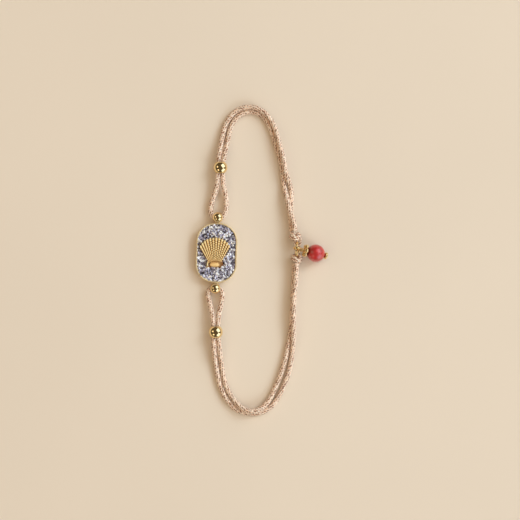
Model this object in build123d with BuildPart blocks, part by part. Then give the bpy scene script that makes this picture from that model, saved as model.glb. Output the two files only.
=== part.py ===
from build123d import *
import math
import os

# Shell bracelet, lying closed on a table, in millimetres.
# A gold tray filled with druzy crystals carries a scallop shell. An eye under a
# ball at each end of the tray holds one doubled cord. A gold slider bead pinches
# each doubled cord, and the two cords are knotted to one jump ring, which also
# carries a head pin with a daisy spacer and a coral bead.
# +Z is up. The origin is at table height, midway between the outer edge of the
# tray and the tip of the head pin, and midway between the two slider beads.

# Small gaps between pieces
gap = 0.05
cord_clearance = 0.1

# Tray
plate_width = 10.3
plate_length = 15.1
plate_corner_radius = 4.6
plate_end_radius = 6.5
plate_floor = 0.5
rim_height = 1.85
rim_wall = 0.4
rim_rounding = 0.12
plate_centre = (-11.33, -0.825)
plate_turn = -2.0

# Eyes and balls at the tray's ends
ball_diameter = 2.6
ball_gap_to_tray = 0.05
eye_setback = 0.22
eye_height = 1.1
eye_wall = 0.35
eye_length = 1.1
neck_width = 1.2
neck_height = 1.5

# Druzy crust
crust_height = 1.5
crystal_height = 0.62
crust_rings = 7
crust_sectors = 56

# Scallop shell
shell_turn = 0.7
shell_apex = (-0.145, -4.95)
shell_reach = 8.7
shell_side_shortening = 1.3
shell_half_angle = 31.0
shell_ribs = 12
rib_height = 0.26
shell_edge_height = 0.45
shell_crown = 0.75
shell_margin = 1.3
shell_rows = 9
points_per_rib = 4
hinge_half_width = 2.15

# Slider beads
slider_diameter = 3.5
slider_bore = 2.1
slider_upper_centre = (-10.325, 20.5)
slider_lower_centre = (-11.5, -20.6)

# Cord, and the squeezed pair of strands inside each slider bead
cord_diameter = 1.3
strand_spacing = 1.35
pinched_width = 2.0

# Knots
knot_wrap_radius = 0.9
knot_slant = -20.0
knot_loop_thickness = 0.7
KNOTS = {
    "upper": {"centre": (8.25, 3.17), "wrap_pitch": 0.95},
    "lower": {"centre": (8.7, -2.2), "wrap_pitch": 0.7},
}

# Jump ring
ring_diameter = 4.0
ring_wire = 0.6
ring_centre = (8.95, 0.025)
ring_lean = 12.0

# Coral drop on its head pin
coral_diameter = 4.46
coral_centre = (13.5, -0.92)
pin_wire = 0.5
pin_eye_radius = 0.75
pin_eye_wire = 0.45
pin_eye_place = (0.15, 0.25, -0.09)
pin_eye_turn = 14.0
pin_head_diameter = 1.7
pin_head_thickness = 0.8
pin_head_rounding = 0.35
bead_hole_clearance = 0.1
spacer_granules = 6
spacer_granule_radius = 0.52
spacer_ring_radius = 1.13
spacer_disc_thickness = 0.6

# Routes of the cord, chosen by eye along the strands as they lie. Each doubled
# cord runs from its knot along the outer strand to the slider bead, round the
# small loop through the tray's eye, and back along the inner strand.
CORD_ROUTES = {
    "cord_upper_outer": [
        (7.45, 4.6, 0.95), (7.45, 5.9, 0.95), (7.2, 7.9, 0.65), (7.2, 10.25, 0.65), (7.4, 12.65, 0.65),
        (7.35, 14.9, 0.75), (6.8, 17.0, 1.3), (5.95, 19.0, 1.97), (5.65, 21.15, 1.97), (5.3, 23.25, 1.95),
        (4.6, 25.65, 1.87), (4.0, 28.15, 1.77), (3.25, 30.65, 1.67), (1.95, 33.05, 1.62), (0.0, 34.9, 1.58),
        (-2.45, 35.75, 1.48), (-5.05, 35.5, 1.1), (-7.4, 34.05, 0.7), (-9.15, 31.5, 0.65),
        (-10.1, 28.5, 0.75), (-10.65, 25.8, 1.3), (-10.9, 24.1, 1.75), (-10.9, 22.75, 1.75),
    ],
    "cord_upper_loop": [
        (-11.1, 18.05, 1.75), (-11.1, 16.5, 1.75), (-11.65, 14.75, 1.35), (-12.35, 12.85, 1.0),
        (-12.8, 10.85, 1.0), (-12.8, 8.95, 1.1), (-11.75, 7.85, 1.1), (-10.2, 7.85, 1.1),
        (-9.1, 8.95, 1.1), (-8.85, 10.85, 1.0), (-8.95, 12.85, 1.0), (-9.3, 14.75, 1.35),
        (-9.75, 16.5, 1.75), (-9.75, 18.05, 1.75),
    ],
    "cord_upper_inner": [
        (-9.55, 22.75, 1.75), (-9.55, 24.1, 1.75), (-9.2, 25.75, 1.3), (-8.8, 27.9, 0.75),
        (-8.2, 30.25, 0.65),
        (-6.85, 32.55, 0.65), (-4.85, 34.15, 0.65), (-2.7, 34.65, 0.65), (-0.6, 34.1, 0.65),
        (1.0, 32.6, 0.65), (2.1, 30.55, 0.65), (2.9, 28.4, 0.65), (3.55, 26.15, 0.65), (4.25, 24.0, 0.65),
        (4.85, 21.9, 0.65), (5.2, 19.65, 0.65), (5.4, 17.4, 0.65), (5.75, 15.25, 0.8), (6.2, 13.15, 1.5),
        (6.7, 10.9, 1.92), (7.25, 8.75, 2.02), (8.2, 6.5, 2.05), (8.2, 4.6, 2.05),
    ],
    "cord_lower_outer": [
        (8.6, -3.5, 2.05), (8.6, -5.35, 2.05), (8.45, -7.85, 2.02), (8.2, -10.35, 1.98), (7.95, -13.1, 1.98),
        (7.9, -15.85, 1.98), (7.95, -18.35, 1.96), (7.95, -20.85, 1.76), (7.85, -23.35, 1.3),
        (7.65, -25.85, 0.85), (7.35, -28.35, 0.65), (6.7, -31.1, 0.65), (5.65, -33.85, 0.65),
        (4.4, -36.5, 0.65), (2.85, -38.95, 0.65), (0.55, -40.6, 0.65), (-2.1, -41.1, 0.65),
        (-4.7, -40.8, 0.65), (-7.1, -39.65, 0.65), (-9.05, -37.3, 0.65), (-10.4, -34.35, 0.65),
        (-11.1, -31.35, 0.65), (-11.65, -28.0, 0.95), (-12.1, -25.3, 1.75), (-12.1, -23.0, 1.75),
    ],
    "cord_lower_loop": [
        (-12.25, -18.1, 1.75), (-12.25, -16.55, 1.75), (-12.7, -14.7, 1.35), (-13.3, -12.7, 1.0),
        (-13.55, -10.6, 1.1), (-12.45, -9.5, 1.1), (-10.95, -9.5, 1.1), (-9.85, -10.6, 1.1),
        (-9.95, -12.7, 1.0), (-10.4, -14.7, 1.35), (-10.9, -16.55, 1.75), (-10.9, -18.1, 1.75),
    ],
    "cord_lower_inner": [
        (-10.75, -23.0, 1.75), (-10.75, -24.9, 1.75), (-10.35, -27.3, 0.95), (-10.0, -29.85, 0.65),
        (-9.5, -32.6, 0.65), (-8.5, -35.35, 0.7), (-6.9, -37.75, 1.1), (-5.0, -39.65, 1.7),
        (-2.95, -40.5, 1.93), (-0.85, -40.2, 1.82), (1.0, -38.8, 1.38), (2.35, -36.85, 0.87),
        (3.45, -34.5, 0.65), (4.4, -32.1, 0.65), (5.25, -29.7, 0.65), (5.9, -27.35, 0.65),
        (6.4, -25.1, 0.65), (6.85, -22.85, 0.65), (7.2, -20.6, 0.65), (7.45, -18.35, 0.65),
        (7.65, -15.85, 0.65), (7.8, -13.1, 0.65), (7.85, -10.35, 0.65), (8.05, -7.85, 0.65),
        (8.2, -5.35, 0.7), (8.2, -3.5, 0.7),
    ],
}

# Sizes worked out from the values above
cord_radius = cord_diameter / 2
eye_bore = cord_radius + cord_clearance
fold_radius = 1.85
ball_reach = plate_length / 2 + ball_gap_to_tray + ball_diameter / 2
eye_reach = ball_reach - eye_setback
ball_height = eye_height + eye_bore + gap
ring_radius = (ring_diameter - ring_wire) / 2
knot_height = knot_wrap_radius + cord_radius
shell_seat = crust_height + 2 * gap
tray_plane = Plane(origin=(*plate_centre, 0), x_dir=(1, 0, 0), z_dir=(0, 0, 1)).rotated((0, 0, plate_turn))

os.makedirs("parts", exist_ok=True)


def save(node, part):
    """Label a finished piece and write it to its own file."""
    part.label = node
    export_step(part, f"parts/{node}.step")


# Tray, with its eyes and balls, soldered into one piece


def tray_outline(inset):
    """Outline of the tray, moved in by inset: two straight sides joined by corner and end arcs."""
    half_width = plate_width / 2 - inset
    half_length = plate_length / 2 - inset
    corner = plate_corner_radius - inset
    end = plate_end_radius - inset
    corner_x = half_width - corner
    end_y = half_length - end
    corner_y = end_y + math.sqrt((end - corner) ** 2 - corner_x**2)
    along = Vector(corner_x, corner_y - end_y).normalized()
    meet = Vector(corner_x, corner_y) + along * corner
    with BuildSketch(mode=Mode.PRIVATE) as outline:
        with BuildLine():
            Line((half_width, -corner_y), (half_width, corner_y))
            RadiusArc((half_width, corner_y), (meet.X, meet.Y), -corner)
            RadiusArc((meet.X, meet.Y), (-meet.X, meet.Y), -end)
            RadiusArc((-meet.X, meet.Y), (-half_width, corner_y), -corner)
            Line((-half_width, corner_y), (-half_width, -corner_y))
            RadiusArc((-half_width, -corner_y), (-meet.X, -meet.Y), -corner)
            RadiusArc((-meet.X, -meet.Y), (meet.X, -meet.Y), -end)
            RadiusArc((meet.X, -meet.Y), (half_width, -corner_y), -corner)
        make_face()
    return outline.sketch


with BuildPart() as plate:
    with BuildSketch(tray_plane):
        add(tray_outline(0))
    extrude(amount=rim_height)
    with BuildSketch(tray_plane.offset(plate_floor)):
        add(tray_outline(rim_wall))
    extrude(amount=rim_height, mode=Mode.SUBTRACT)
    fillet(plate.edges().group_by(Axis.Z)[-1], rim_rounding)
    for side in (1, -1):
        neck_start = plate_length / 2 - rim_wall
        neck_middle = (neck_start + eye_reach) / 2
        with Locations(tray_plane * Location((0, side * neck_middle, neck_height / 2))):
            Box(neck_width, eye_reach - neck_start, neck_height)
        with Locations(tray_plane * Location((0, side * eye_reach, eye_height), (0, 90, 0))):
            Cylinder(eye_bore + eye_wall, eye_length)
        with Locations(tray_plane * Location((0, side * ball_reach, ball_height))):
            Sphere(ball_diameter / 2)
        with Locations(tray_plane * Location((0, side * (eye_reach + fold_radius), eye_height))):
            Torus(fold_radius, eye_bore, mode=Mode.SUBTRACT)
save("plate", plate.part)


# Faceted pieces


def triangle(a, b, c):
    return Face(Wire.make_polygon([a, b, c]))


def wall(a, b, base):
    """Upright four-cornered wall under the edge from a to b, down to height base."""
    return Face(Wire.make_polygon([a, b, Vector(b.X, b.Y, base), Vector(a.X, a.Y, base)]))


def tray_radius(angle, inset):
    """Distance from the tray's centre to its inset outline at an angle, from the outline's own arcs."""
    half_width = plate_width / 2 - inset
    half_length = plate_length / 2 - inset
    corner = plate_corner_radius - inset
    end = plate_end_radius - inset
    corner_x = half_width - corner
    end_y = half_length - end
    corner_y = end_y + math.sqrt((end - corner) ** 2 - corner_x**2)
    c, s = abs(math.cos(angle)), abs(math.sin(angle))
    side = half_width / max(c, 1e-9)
    if side * s <= corner_y:
        return side
    ahead = corner_x * c + corner_y * s
    around = ahead + math.sqrt(ahead**2 - corner_x**2 - corner_y**2 + corner**2)
    meet_slope = (corner_y - end_y) / corner_x
    if around * s - end_y <= meet_slope * around * c:
        return around
    return end_y * s + math.sqrt((end_y * s) ** 2 - end_y**2 + end**2)


# Druzy crust: rings of points from the middle out, each lifted by its own height


def scatter(i, j, seed):
    """A repeatable number from 0 to 1 for point (i, j): the fraction of a large sine."""
    value = math.sin(i * 12.9898 + j * 78.233 + seed * 37.719) * 43758.5453
    return value - math.floor(value)


def under_shell(x, y):
    """True where the crust carries the shell, with a margin of one crystal round it."""
    dx, dy = x - shell_apex[0], y - shell_apex[1]
    reach = math.hypot(dx, dy)
    angle = math.degrees(math.atan2(abs(dx), dy)) if dy > 0 else 90.0
    half_width = math.tan(math.radians(shell_half_angle)) * dy + 1.2 * shell_margin
    in_fan = reach < shell_reach + shell_margin and abs(dx) < half_width
    in_hinge = abs(dx) < hinge_half_width + shell_margin and 0.3 < dy < 3.6
    return (in_fan and angle < shell_half_angle + 12) or in_hinge


def crust_point(ring, sector):
    """Point of the crust: a share of the way to the rim, shaken sideways and lifted to a crystal's tip."""
    share = (ring / crust_rings) ** 0.8
    inner = ring < crust_rings
    turn = sector + (0.5 * (ring % 2) + 0.7 * (scatter(ring, sector, 1) - 0.5) if inner else 0.5)
    angle = 2 * math.pi * turn / crust_sectors
    shake = 0.06 * (scatter(ring, sector, 2) - 0.5) if inner else 0
    reach = tray_radius(angle, rim_wall + gap) * (share + shake)
    x, y = reach * math.cos(angle), reach * math.sin(angle)
    lift = 0 if under_shell(x, y) or not inner else crystal_height * scatter(ring, sector, 3)
    return tray_plane.from_local_coords(Vector(x, y, crust_height + lift))


crust_bottom = plate_floor + gap
crust_faces = []
crust_middle = tray_plane.from_local_coords(Vector(0, 0, crust_height))
crust_points = [[crust_point(ring, s) for s in range(crust_sectors)] for ring in range(1, crust_rings + 1)]
for s in range(crust_sectors):
    t = (s + 1) % crust_sectors
    crust_faces.append(triangle(crust_middle, crust_points[0][s], crust_points[0][t]))
    for ring in range(crust_rings - 1):
        near, far = crust_points[ring], crust_points[ring + 1]
        crust_faces.append(triangle(near[s], far[s], far[t]))
        crust_faces.append(triangle(near[s], far[t], near[t]))
    crust_faces.append(wall(crust_points[-1][s], crust_points[-1][t], crust_bottom))
crust_foot = [Vector(p.X, p.Y, crust_bottom) for p in crust_points[-1]]
crust_faces.append(Face(Wire.make_polygon(crust_foot)))
with BuildPart() as druzy_fill:
    add(Solid(Shell(crust_faces)))
save("druzy_fill", druzy_fill.part)


# Scallop shell: rows across the hinge, then rows of the fan, each a line of points

# Rows of the hinge: distance ahead of the apex, share of the hinge's half width, height over the seat
HINGE_ROWS = (
    {"ahead": 1.25, "width": 0.72, "height": 0.25},
    {"ahead": 1.45, "width": 0.9, "height": 0.62},
    {"ahead": 1.95, "width": 1.0, "height": 0.95},
    {"ahead": 2.4, "width": 0.94, "height": 0.62},
    {"ahead": 2.65, "width": 0.8, "height": 0.32},
)
neck_ahead = 3.0
shell_columns = shell_ribs * points_per_rib


def shell_point(x, y, height):
    """Point of the shell, from the fan's own apex to the tray's frame and then to its place."""
    turn = math.radians(shell_turn - plate_turn)
    place = Vector(
        shell_apex[0] + x * math.cos(turn) - y * math.sin(turn),
        shell_apex[1] + x * math.sin(turn) + y * math.cos(turn),
        shell_seat + height,
    )
    return tray_plane.from_local_coords(place)


def hinge_row(row):
    """One line across the hinge, highest in the middle half and low at its two ends."""
    points = []
    for j in range(shell_columns + 1):
        across = 2 * j / shell_columns - 1
        boss = 1 - 0.55 * min(1, abs(across) / 0.8) ** 4
        side = across * row["width"] * hinge_half_width
        points.append(shell_point(side, row["ahead"], row["height"] * boss))
    return points


def fan_row(i):
    """One curved line across the fan: ribs are half waves on a dome that falls to the shell's edge."""
    points = []
    share = i / shell_rows
    for j in range(shell_columns + 1):
        across = 2 * j / shell_columns - 1
        angle = math.radians(shell_half_angle * across)
        edge = shell_reach - shell_side_shortening * abs(across) ** 2.6
        reach = neck_ahead + (edge - neck_ahead) * share
        swell = math.sin(math.pi * (0.12 + 0.76 * share)) * (1 - 0.6 * across**2)
        dome = shell_edge_height + shell_crown * swell
        rib = rib_height * (0.45 + 0.55 * share) * abs(math.sin(math.pi * j / points_per_rib))
        height = dome - rib_height * 0.5 + rib
        if i == shell_rows:
            height = 0.55 * height
        points.append(shell_point(reach * math.sin(angle), reach * math.cos(angle), height))
    return points


shell_lines = [hinge_row(row) for row in HINGE_ROWS] + [fan_row(i) for i in range(shell_rows + 1)]
shell_faces = []
for near, far in zip(shell_lines, shell_lines[1:]):
    for j in range(shell_columns):
        shell_faces.append(triangle(near[j], far[j], far[j + 1]))
        shell_faces.append(triangle(near[j], far[j + 1], near[j + 1]))
shell_border = shell_lines[0] + [line[-1] for line in shell_lines[1:-1]]
shell_border += shell_lines[-1][::-1] + [line[0] for line in shell_lines[-2:0:-1]]
for a, b in zip(shell_border, shell_border[1:] + shell_border[:1]):
    shell_faces.append(wall(a, b, shell_seat))
shell_faces.append(Face(Wire.make_polygon([Vector(p.X, p.Y, shell_seat) for p in shell_border])))
with BuildPart() as shell:
    add(Solid(Shell(shell_faces)))
save("shell", shell.part)


# Slider beads: balls drilled along Y

slider_bore_radius = slider_bore / 2
for node, centre in (("slider_bead_upper", slider_upper_centre), ("slider_bead_lower", slider_lower_centre)):
    with BuildPart() as slider_bead:
        with Locations((*centre, slider_diameter / 2)):
            Sphere(slider_diameter / 2)
        with Locations(Location((*centre, slider_diameter / 2), (90, 0, 0))):
            Cylinder(slider_bore_radius, slider_diameter, mode=Mode.SUBTRACT)
    save(node, slider_bead.part)


# Cords


def arc_radii(points):
    """Largest arc that each corner's two runs allow: 0.45 of the shorter run over tan of half the turn."""
    radii = []
    for before, here, after in zip(points, points[1:], points[2:]):
        first, second = Vector(here) - Vector(before), Vector(after) - Vector(here)
        half_turn = math.radians(first.get_angle(second)) / 2
        radii.append(0.45 * min(first.length, second.length) / math.tan(half_turn))
    return radii


for node, route in CORD_ROUTES.items():
    radii = arc_radii(route)
    with BuildPart() as tube:
        with BuildLine() as path:
            FilletPolyline(*route, radius=radii)
        with BuildSketch(Plane(origin=path.wire() @ 0, z_dir=path.wire() % 0)):
            Circle(cord_radius)
        sweep()
    length = path.wire().length
    share = tube.part.volume / (math.pi * cord_radius**2 * length)
    print(node, "length", round(length, 1), "volume share", round(share, 4))
    print("   radii", [round(radius, 1) for radius in radii])
    save(node, tube.part)

# The two strands of each doubled cord, squeezed together where they pass the slider bead


def pinch_width(share):
    """Width over both strands: share 1 where they lie side by side, 0 where the bead squeezes them."""
    return pinched_width + share * (strand_spacing + cord_diameter - pinched_width)


for half, centre in (("upper", slider_upper_centre), ("lower", slider_lower_centre)):
    outer_end = Vector(CORD_ROUTES[f"cord_{half}_outer"][-1])
    inner_end = Vector(CORD_ROUTES[f"cord_{half}_inner"][0])
    loop_start = Vector(CORD_ROUTES[f"cord_{half}_loop"][0])
    loop_end = Vector(CORD_ROUTES[f"cord_{half}_loop"][-1])
    away = 1 if half == "upper" else -1
    bead = Vector(*centre, slider_diameter / 2)
    mouth = Vector(0, away * slider_diameter / 2, 0)
    far_side, near_side = (outer_end + inner_end) / 2, (loop_start + loop_end) / 2
    with BuildPart() as waist:
        for start, end, start_share, end_share in (
            (far_side, bead + mouth, 1, 0),
            (bead + mouth, bead - mouth, 0, 0),
            (bead - mouth, near_side, 0, 1),
        ):
            with BuildSketch(Plane(origin=start, x_dir=(1, 0, 0), z_dir=(0, -away, 0))):
                SlotOverall(pinch_width(start_share), cord_diameter)
            with BuildSketch(Plane(origin=end, x_dir=(1, 0, 0), z_dir=(0, -away, 0))):
                SlotOverall(pinch_width(end_share), cord_diameter)
            loft(ruled=True)
    save(f"cord_{half}_waist", waist.part)


# Knots: both strands run into two wound turns, and a tight loop of cord goes round the jump ring

ring_height = ring_radius * math.cos(math.radians(ring_lean)) + ring_wire / 2
loop_radius = ring_wire / 2 + gap + knot_loop_thickness / 2
ring_place = Location((*ring_centre, ring_height), (0, 90 - ring_lean, 0))
for half, row in KNOTS.items():
    away = 1 if half == "upper" else -1
    centre = row["centre"]
    strands = (Vector(CORD_ROUTES[f"cord_{half}_outer"][0]), Vector(CORD_ROUTES[f"cord_{half}_inner"][-1]))
    held_wire = Vector(ring_centre[0], ring_centre[1] + away * ring_radius, ring_height)
    with BuildPart() as knot:
        for strand in strands:
            with BuildSketch(Plane(origin=strand, x_dir=(1, 0, 0), z_dir=(0, -away, 0))):
                Circle(cord_radius)
            extrude(amount=abs(strand.Y - centre[1]))
        knot_axis = Location((*centre, knot_height), (0, 0, knot_slant))
        for step in (-0.5, 0.5):
            with Locations(knot_axis * Location((0, step * row["wrap_pitch"], 0), (90, 0, 0))):
                Torus(knot_wrap_radius, cord_radius)
        with Locations(knot_axis * Location((0, 0, 0), (90, 0, 0))):
            Cylinder(knot_wrap_radius, row["wrap_pitch"])
        reach = Vector(0, centre[1] - held_wire.Y, knot_height - held_wire.Z)
        loop_plane = Plane(origin=held_wire, x_dir=(1, 0, 0), z_dir=Vector(1, 0, 0).cross(reach))
        with BuildLine(loop_plane) as loop_path:
            Line((-loop_radius, reach.length), (-loop_radius, 0))
            ThreePointArc((-loop_radius, 0), (0, -loop_radius), (loop_radius, 0))
            Line((loop_radius, 0), (loop_radius, reach.length))
        with BuildSketch(Plane(origin=loop_path.wire() @ 0, z_dir=loop_path.wire() % 0)):
            Circle(knot_loop_thickness / 2)
        sweep()
        with Locations(ring_place):
            Torus(ring_radius, ring_wire / 2 + gap, mode=Mode.SUBTRACT)
    save(f"knot_{half}", knot.part)


# Jump ring, standing on its edge with its top leaning to the left

with BuildPart() as jump_ring:
    with Locations(ring_place):
        Torus(ring_radius, ring_wire / 2)
save("jump_ring", jump_ring.part)


# Coral bead, daisy spacer and head pin, all on one axis

lean = math.radians(ring_lean)
ring_top = Vector(
    ring_centre[0] - ring_radius * math.sin(lean),
    ring_centre[1],
    ring_height + ring_radius * math.cos(lean),
)
pin_eye = ring_top + Vector(*pin_eye_place)
coral_middle = Vector(*coral_centre, coral_diameter / 2)
pin_direction = (coral_middle - pin_eye).normalized()
across_pin = pin_direction.cross(Vector(0, 1, 0)).normalized()
pin_plane = Plane(origin=coral_middle, x_dir=across_pin, z_dir=pin_direction)
bead_hole = pin_wire / 2 + bead_hole_clearance

with BuildPart() as coral_bead:
    with Locations(Location(pin_plane)):
        Sphere(coral_diameter / 2)
        Cylinder(bead_hole, coral_diameter, mode=Mode.SUBTRACT)
save("coral_bead", coral_bead.part)

coral_face = math.sqrt((coral_diameter / 2) ** 2 - bead_hole**2)
spacer_middle = coral_face + gap + spacer_granule_radius
with BuildPart() as daisy_spacer:
    with Locations(Location(pin_plane.offset(-spacer_middle))):
        Cylinder(spacer_ring_radius, spacer_disc_thickness)
        with PolarLocations(spacer_ring_radius, spacer_granules):
            Sphere(spacer_granule_radius)
        Cylinder(bead_hole, 3 * spacer_granule_radius, mode=Mode.SUBTRACT)
save("daisy_spacer", daisy_spacer.part)

eye_distance = (coral_middle - pin_eye).length
shank_start = eye_distance - pin_eye_radius
head_start = coral_face + gap
with BuildPart() as head_pin:
    with BuildSketch(pin_plane.offset(-shank_start)):
        Circle(pin_wire / 2)
    extrude(amount=shank_start + head_start + pin_head_thickness / 2)
    with BuildSketch(pin_plane.offset(head_start)):
        Circle(pin_head_diameter / 2)
    extrude(amount=pin_head_thickness)
    head_rims = head_pin.edges().filter_by(GeomType.CIRCLE).group_by(SortBy.RADIUS)[-1]
    fillet(head_rims, pin_head_rounding)
    eye_plane = Plane(origin=pin_eye, x_dir=pin_direction, z_dir=pin_direction.cross(across_pin))
    with Locations(Location(eye_plane) * Location((0, 0, 0), (pin_eye_turn, 0, 0))):
        Torus(pin_eye_radius, pin_eye_wire / 2)
save("head_pin", head_pin.part)
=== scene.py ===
"""Shell bracelet: cords, gold findings, druzy crystals, scallop shell and coral drop.

Each piece is a surface worked out with numpy in metres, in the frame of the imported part.
"""

import math

import bmesh
import bpy
import numpy as np
from bpy.props import FloatProperty, FloatVectorProperty, IntProperty, PointerProperty
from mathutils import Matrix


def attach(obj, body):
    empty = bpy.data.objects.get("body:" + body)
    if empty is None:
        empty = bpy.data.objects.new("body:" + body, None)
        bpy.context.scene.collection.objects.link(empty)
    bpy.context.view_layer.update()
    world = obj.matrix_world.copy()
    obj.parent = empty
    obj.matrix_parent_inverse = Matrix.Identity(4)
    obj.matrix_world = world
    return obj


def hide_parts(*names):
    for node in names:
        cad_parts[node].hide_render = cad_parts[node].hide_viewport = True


bl_info = {
    "name": "Shell Bracelet",
    "version": (1, 0, 0),
    "blender": (4, 5, 0),
    "location": "3D View > Sidebar > Bracelet",
    "description": "Builds a cord bracelet with a scallop shell on druzy crystals and a coral drop",
    "category": "Add Mesh",
}

MM = 0.001
UP = np.array([0.0, 0.0, 1.0])
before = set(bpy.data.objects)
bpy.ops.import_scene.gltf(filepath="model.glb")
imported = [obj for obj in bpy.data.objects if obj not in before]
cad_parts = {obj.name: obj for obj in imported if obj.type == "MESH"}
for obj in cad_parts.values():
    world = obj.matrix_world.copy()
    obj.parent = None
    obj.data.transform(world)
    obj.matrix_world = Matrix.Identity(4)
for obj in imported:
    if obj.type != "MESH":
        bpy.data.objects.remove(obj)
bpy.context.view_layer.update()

# Routes of the two doubled cords in millimetres, from the knot along the outer strand, through the
# slider bead, round the tray's eye, back through the bead and along the inner strand to the knot

UPPER_ROUTE = [
    (7.45, 4.6, 0.95), (7.45, 5.9, 0.95), (7.2, 7.9, 0.65), (7.2, 10.25, 0.65), (7.4, 12.65, 0.65),
    (7.35, 14.9, 0.75), (6.8, 17.0, 1.3), (5.95, 19.0, 1.97), (5.65, 21.15, 1.97), (5.3, 23.25, 1.95),
    (4.6, 25.65, 1.87), (4.0, 28.15, 1.77), (3.25, 30.65, 1.67), (1.95, 33.05, 1.62),
    (0.0, 34.9, 1.58), (-2.45, 35.75, 1.48), (-5.05, 35.5, 1.1), (-7.4, 34.05, 0.7),
    (-9.05, 31.5, 0.65), (-9.85, 28.5, 0.75), (-10.3, 25.8, 1.3), (-10.6, 24.1, 1.75),
    (-10.75, 22.75, 1.75), (-10.8, 21.3, 1.75), (-10.84, 19.6, 1.75),
    (-11.05, 18.05, 1.75), (-11.1, 16.5, 1.75), (-11.45, 14.75, 1.35), (-12.2, 12.85, 1.0),
    (-12.75, 10.85, 1.0), (-12.8, 8.95, 1.1), (-11.75, 7.85, 1.1), (-10.2, 7.85, 1.1),
    (-9.1, 8.95, 1.1), (-8.85, 10.85, 1.0), (-8.95, 12.85, 1.0), (-9.3, 14.75, 1.35),
    (-9.7, 16.5, 1.75), (-9.75, 18.05, 1.75), (-9.82, 19.6, 1.75), (-9.82, 21.3, 1.75),
    (-9.45, 22.75, 1.75), (-9.25, 24.1, 1.75), (-8.85, 25.75, 1.3), (-8.4, 27.9, 0.75),
    (-7.95, 30.25, 0.65), (-6.85, 32.55, 0.65), (-4.85, 34.15, 0.65), (-2.7, 34.65, 0.65),
    (-0.6, 34.1, 0.65), (1.0, 32.6, 0.65), (2.1, 30.55, 0.65), (2.9, 28.4, 0.65), (3.55, 26.15, 0.65),
    (4.25, 24.0, 0.65), (4.85, 21.9, 0.65), (5.2, 19.65, 0.65), (5.4, 17.4, 0.65),
    (5.75, 15.25, 0.8), (6.2, 13.15, 1.5), (6.7, 10.9, 1.92), (7.25, 8.75, 2.02), (8.2, 6.5, 2.05),
    (8.2, 4.6, 2.05),
]
LOWER_ROUTE = [
    (8.6, -3.44, 2.05), (8.6, -5.35, 2.05), (8.45, -7.85, 2.02), (8.2, -10.35, 1.98),
    (7.95, -13.1, 1.98), (7.9, -15.85, 1.98), (7.95, -18.35, 1.96), (7.95, -20.85, 1.76),
    (7.85, -23.35, 1.3), (7.65, -25.85, 0.85), (7.35, -28.35, 0.65), (6.7, -31.1, 0.65),
    (5.65, -33.85, 0.65), (4.4, -36.5, 0.65), (2.85, -38.95, 0.65), (0.55, -40.6, 0.65),
    (-2.1, -41.1, 0.65), (-4.7, -40.8, 0.65), (-7.1, -39.65, 0.65), (-9.05, -37.3, 0.65),
    (-10.4, -34.35, 0.65), (-11.1, -31.35, 0.65), (-11.6, -28.0, 0.95), (-11.95, -25.3, 1.75),
    (-12.0, -23.0, 1.75), (-12.0, -21.4, 1.75), (-12.02, -19.8, 1.75),
    (-12.2, -18.1, 1.75), (-12.25, -16.55, 1.75), (-12.7, -14.7, 1.35), (-13.3, -12.7, 1.0),
    (-13.55, -10.6, 1.1), (-12.45, -9.5, 1.1), (-10.95, -9.5, 1.1), (-9.85, -10.6, 1.1),
    (-9.95, -12.7, 1.0), (-10.4, -14.7, 1.35), (-10.85, -16.55, 1.75), (-10.9, -18.1, 1.75),
    (-10.99, -19.8, 1.75), (-11.0, -21.4, 1.75),
    (-10.75, -23.0, 1.75), (-10.6, -24.9, 1.75), (-10.25, -27.3, 0.95), (-10.0, -29.85, 0.65),
    (-9.5, -32.6, 0.65), (-8.5, -35.35, 0.7), (-6.9, -37.75, 1.1), (-5.0, -39.65, 1.7),
    (-2.95, -40.5, 1.93), (-0.85, -40.2, 1.82), (1.0, -38.8, 1.38), (2.35, -36.85, 0.87),
    (3.45, -34.5, 0.65), (4.4, -32.1, 0.65), (5.25, -29.7, 0.65), (5.9, -27.35, 0.65),
    (6.4, -25.1, 0.65), (6.85, -22.85, 0.65), (7.2, -20.6, 0.65), (7.45, -18.35, 0.65),
    (7.65, -15.85, 0.65), (7.8, -13.1, 0.65), (7.85, -10.35, 0.65), (8.05, -7.85, 0.65),
    (8.2, -5.35, 0.7), (8.2, -3.44, 0.7),
]


# Sizes and colours that a user would change


def length(name, description, default):
    """A length property, given in millimetres and kept in metres."""
    return FloatProperty(name=name, description=description, default=default * MM, unit="LENGTH", precision=5)


def colour(name, description, default):
    """A colour property."""
    return FloatVectorProperty(name=name, description=description, default=default, size=3, subtype="COLOR",
                               min=0, max=1)


def factor(name, description, default, most=1.0):
    """A property for a share or a strength."""
    return FloatProperty(name=name, description=description, default=default, min=0, max=most, subtype="FACTOR")


class CordSettings(bpy.types.PropertyGroup):
    diameter: length("Cord diameter", "Thickness of one braided strand", 1.3)
    strands: IntProperty(name="Strands", description="Braiding strands each way round the cord", default=9, min=6)
    relief: factor("Relief", "Depth of the braid as a share of the radius", 0.16)
    wrap_radius: length("Wrap radius", "Radius of the turns in each knot", 0.9)
    loop_thickness: length("Loop thickness", "Thickness of the cord tied round the jump ring", 0.7)
    satin: colour("Satin", "Pink satin of the braid", (0.90, 0.575, 0.385))
    shine: colour("Shine", "Light yarns of the braid", (1.0, 0.85, 0.67))
    thread: colour("Thread", "Bright metal thread in some yarns", (1.0, 0.86, 0.70))
    # The fleck colour also paints the braid's shade in its pits and along the low borders between the yarns.
    fleck: colour("Fleck", "Dark gold flecks in the braid", (0.23, 0.092, 0.036))


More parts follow.
